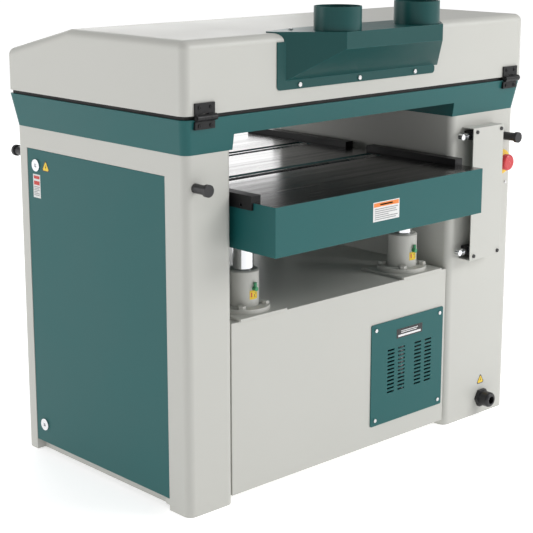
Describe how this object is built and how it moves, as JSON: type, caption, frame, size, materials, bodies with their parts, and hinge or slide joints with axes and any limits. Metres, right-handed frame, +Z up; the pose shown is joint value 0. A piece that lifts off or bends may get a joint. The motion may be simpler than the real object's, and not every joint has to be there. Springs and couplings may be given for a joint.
{
  "type": "thickness planer",
  "caption": "Cabinet thickness planer with a fixed head, hinged hood with twin dust ports, and a power-raised table on four posts.",
  "frame": {"origin": "on the floor under the middle of the cabinet", "axes": "+Z up, +X along the cutterhead towards the belt column with the switches, +Y towards the infeed side; boards leave on the -Y side"},
  "size_m": [1.084, 0.832, 1.0565],
  "materials": {
    "beige_paint": "satin powder coat, warm light grey",
    "green_paint": "satin powder coat, blue green",
    "dark_steel": "blackened steel",
    "machined_steel": "machined",
    "knife_steel": "ground",
    "pulley_iron": "turned",
    "chrome": "polished",
    "motor_paint": "satin enamel",
    "black_rubber": "matt",
    "roller_cover": "ground",
    "black_plastic": "fine texture",
    "yellow_plastic": "smooth",
    "red_plastic": "smooth",
    "green_plastic": "smooth"
  },
  "bodies": {
    "frame": {"base_frame": "beige_paint", "base_cabinet": "beige_paint", "left_housing": "beige_paint", "right_housing": "beige_paint", "right_cover": "beige_paint", "head_frame": "green_paint", "bearing_blocks": "machined_steel", "drive_belts": "black_rubber", "motor": "motor_paint", "feed_gearmotor": "motor_paint", "drive_chains": "dark_steel", "pressure_bar": "machined_steel", "column_sleeves": "beige_paint", "sleeve_bolts": "beige_paint", "lift_gearmotor": "motor_paint", "hood_gasket": "black_rubber", "hinge_base_leaves": "dark_steel", "vent_panel": "green_paint", "limit_switch_cover": "beige_paint", "limit_switches": "black_plastic", "estop_base": "yellow_plastic", "cable_gland": "black_plastic", "panel_screws": "machined_steel", "control_box": "beige_paint"},
    "table": {"table_casting": "green_paint", "table_rails": "dark_steel", "table_posts": "chrome"},
    "cutterhead": {"cutterhead": "machined_steel", "cutterhead_knives": "knife_steel", "cutterhead_pulley": "pulley_iron"},
    "motor_shaft": {"motor_pulley": "pulley_iron"},
    "hood": {"hood": "beige_paint", "dust_hood": "green_paint", "dust_ports": "green_paint", "dust_hood_screws": "machined_steel", "hinge_hood_leaves": "dark_steel"},
    "bed_roller_outfeed": {"bed_roller_outfeed": "machined_steel"},
    "bed_roller_infeed": {"bed_roller_infeed": "machined_steel"},
    "lift_sprocket": {"lift_sprocket": "machined_steel"},
    "infeed_roller": {"infeed_roller": "machined_steel"},
    "outfeed_roller": {"outfeed_roller": "roller_cover"},
    "left_door": {"left_door": "green_paint"},
    "door_lock_upper": {"door_lock_upper": "chrome"},
    "door_lock_lower": {"door_lock_lower": "chrome"},
    "estop_button": {"estop_button": "red_plastic"},
    "switch_plunger_upper": {"switch_plunger_upper": "chrome"},
    "switch_plunger_lower": {"switch_plunger_lower": "chrome"},
    "chip_breaker": {"chip_breaker": "machined_steel"},
    "kickback_fingers": {"kickback_fingers": "machined_steel"},
    "start_button": {"start_button": "green_plastic"},
    "stop_button": {"stop_button": "red_plastic"},
    "leadscrew_outfeed_left": {"leadscrew_outfeed_left": "machined_steel"},
    "leadscrew_infeed_left": {"leadscrew_infeed_left": "machined_steel"},
    "leadscrew_outfeed_right": {"leadscrew_outfeed_right": "machined_steel"},
    "leadscrew_infeed_right": {"leadscrew_infeed_right": "machined_steel"},
    "lifting_bar_outfeed_left": {"lifting_bar_outfeed_left": "black_plastic"},
    "lifting_bar_infeed_left": {"lifting_bar_infeed_left": "black_plastic"},
    "lifting_bar_outfeed_right": {"lifting_bar_outfeed_right": "black_plastic"},
    "lifting_bar_infeed_right": {"lifting_bar_infeed_right": "black_plastic"}
  },
  "joints": [
    {"name": "table_lift", "type": "slide", "parent": "frame", "child": "table", "axis": [0, 0, 1], "range_m": [-0.09, 0.122]},
    {"name": "lift_drive", "type": "hinge", "parent": "frame", "child": "lift_sprocket", "pos_m": [-0.0555, 0.231, 0.106], "axis": [0, 0, -1], "range_deg": [-6480, 8784]},
    {"name": "leadscrew_outfeed_left_turn", "type": "hinge", "parent": "frame", "child": "leadscrew_outfeed_left", "pos_m": [-0.314, -0.231, 0.28], "axis": [0, 0, -1], "range_deg": [-6480, 8784]},
    {"name": "leadscrew_infeed_left_turn", "type": "hinge", "parent": "frame", "child": "leadscrew_infeed_left", "pos_m": [-0.314, 0.231, 0.28], "axis": [0, 0, -1], "range_deg": [-6480, 8784]},
    {"name": "leadscrew_outfeed_right_turn", "type": "hinge", "parent": "frame", "child": "leadscrew_outfeed_right", "pos_m": [0.203, -0.231, 0.28], "axis": [0, 0, -1], "range_deg": [-6480, 8784]},
    {"name": "leadscrew_infeed_right_turn", "type": "hinge", "parent": "frame", "child": "leadscrew_infeed_right", "pos_m": [0.203, 0.231, 0.28], "axis": [0, 0, -1], "range_deg": [-6480, 8784]},
    {"name": "cutterhead_spin", "type": "hinge", "parent": "frame", "child": "cutterhead", "pos_m": [-0.062, 0.01, 0.845], "axis": [1, 0, 0], "continuous": true},
    {"name": "motor_spin", "type": "hinge", "parent": "frame", "child": "motor_shaft", "pos_m": [0.3, 0.01, 0.24], "axis": [1, 0, 0], "continuous": true},
    {"name": "outfeed_roller_spin", "type": "hinge", "parent": "frame", "child": "outfeed_roller", "pos_m": [-0.062, -0.111, 0.825], "axis": [1, 0, 0], "continuous": true},
    {"name": "infeed_roller_spin", "type": "hinge", "parent": "frame", "child": "infeed_roller", "pos_m": [-0.062, 0.131, 0.825], "axis": [1, 0, 0], "continuous": true},
    {"name": "bed_roller_outfeed_spin", "type": "hinge", "parent": "table", "child": "bed_roller_outfeed", "pos_m": [-0.062, -0.111, 0.6493], "axis": [1, 0, 0], "continuous": true},
    {"name": "bed_roller_infeed_spin", "type": "hinge", "parent": "table", "child": "bed_roller_infeed", "pos_m": [-0.062, 0.131, 0.6493], "axis": [1, 0, 0], "continuous": true},
    {"name": "hood_hinge", "type": "hinge", "parent": "frame", "child": "hood", "pos_m": [0, -0.319, 0.851], "axis": [1, 0, 0], "range_deg": [0, 75]},
    {"name": "door_swing", "type": "hinge", "parent": "frame", "child": "left_door", "pos_m": [-0.526, -0.227, 0.378], "axis": [0, 0, 1], "range_deg": [0, 105]},
    {"name": "lock_upper_turn", "type": "hinge", "parent": "left_door", "child": "door_lock_upper", "pos_m": [-0.53, 0.226, 0.689], "axis": [1, 0, 0], "range_deg": [0, 90]},
    {"name": "lock_lower_turn", "type": "hinge", "parent": "left_door", "child": "door_lock_lower", "pos_m": [-0.53, 0.226, 0.07], "axis": [1, 0, 0], "range_deg": [0, 90]},
    {"name": "lifting_bar_outfeed_left_pull", "type": "slide", "parent": "frame", "child": "lifting_bar_outfeed_left", "axis": [0, -1, 0], "range_m": [0, 0.1]},
    {"name": "lifting_bar_infeed_left_pull", "type": "slide", "parent": "frame", "child": "lifting_bar_infeed_left", "axis": [0, 1, 0], "range_m": [0, 0.1]},
    {"name": "lifting_bar_outfeed_right_pull", "type": "slide", "parent": "frame", "child": "lifting_bar_outfeed_right", "axis": [0, -1, 0], "range_m": [0, 0.1]},
    {"name": "lifting_bar_infeed_right_pull", "type": "slide", "parent": "frame", "child": "lifting_bar_infeed_right", "axis": [0, 1, 0], "range_m": [0, 0.1]},
    {"name": "estop_press", "type": "slide", "parent": "frame", "child": "estop_button", "axis": [0, 1, 0], "range_m": [0, 0.004], "stiffness_N_per_m": 1500},
    {"name": "switch_upper_press", "type": "slide", "parent": "frame", "child": "switch_plunger_upper", "axis": [1, 0, 0], "range_m": [0, 0.005], "stiffness_N_per_m": 800},
    {"name": "switch_lower_press", "type": "slide", "parent": "frame", "child": "switch_plunger_lower", "axis": [1, 0, 0], "range_m": [0, 0.005], "stiffness_N_per_m": 800},
    {"name": "start_press", "type": "slide", "parent": "frame", "child": "start_button", "axis": [0, -1, 0], "range_m": [0, 0.003], "stiffness_N_per_m": 800},
    {"name": "stop_press", "type": "slide", "parent": "frame", "child": "stop_button", "axis": [0, -1, 0], "range_m": [0, 0.003], "stiffness_N_per_m": 800},
    {"name": "chip_breaker_swing", "type": "hinge", "parent": "frame", "child": "chip_breaker", "pos_m": [-0.062, 0.082, 0.888], "axis": [1, 0, 0], "range_deg": [-6, 0]},
    {"name": "kickback_swing", "type": "hinge", "parent": "frame", "child": "kickback_fingers", "pos_m": [-0.062, 0.225, 0.88], "axis": [1, 0, 0], "range_deg": [-35, 0]}
  ],
  "couplings": [
    {"joint": "lift_drive", "follows": "table_lift", "rad_per_m": 1256.6},
    {"joint": "leadscrew_outfeed_left_turn", "follows": "table_lift", "rad_per_m": 1256.6},
    {"joint": "leadscrew_infeed_left_turn", "follows": "table_lift", "rad_per_m": 1256.6},
    {"joint": "leadscrew_outfeed_right_turn", "follows": "table_lift", "rad_per_m": 1256.6},
    {"joint": "leadscrew_infeed_right_turn", "follows": "table_lift", "rad_per_m": 1256.6},
    {"joint": "motor_spin", "follows": "cutterhead_spin", "ratio": 0.69355},
    {"joint": "infeed_roller_spin", "follows": "outfeed_roller_spin", "ratio": 1}
  ]
}
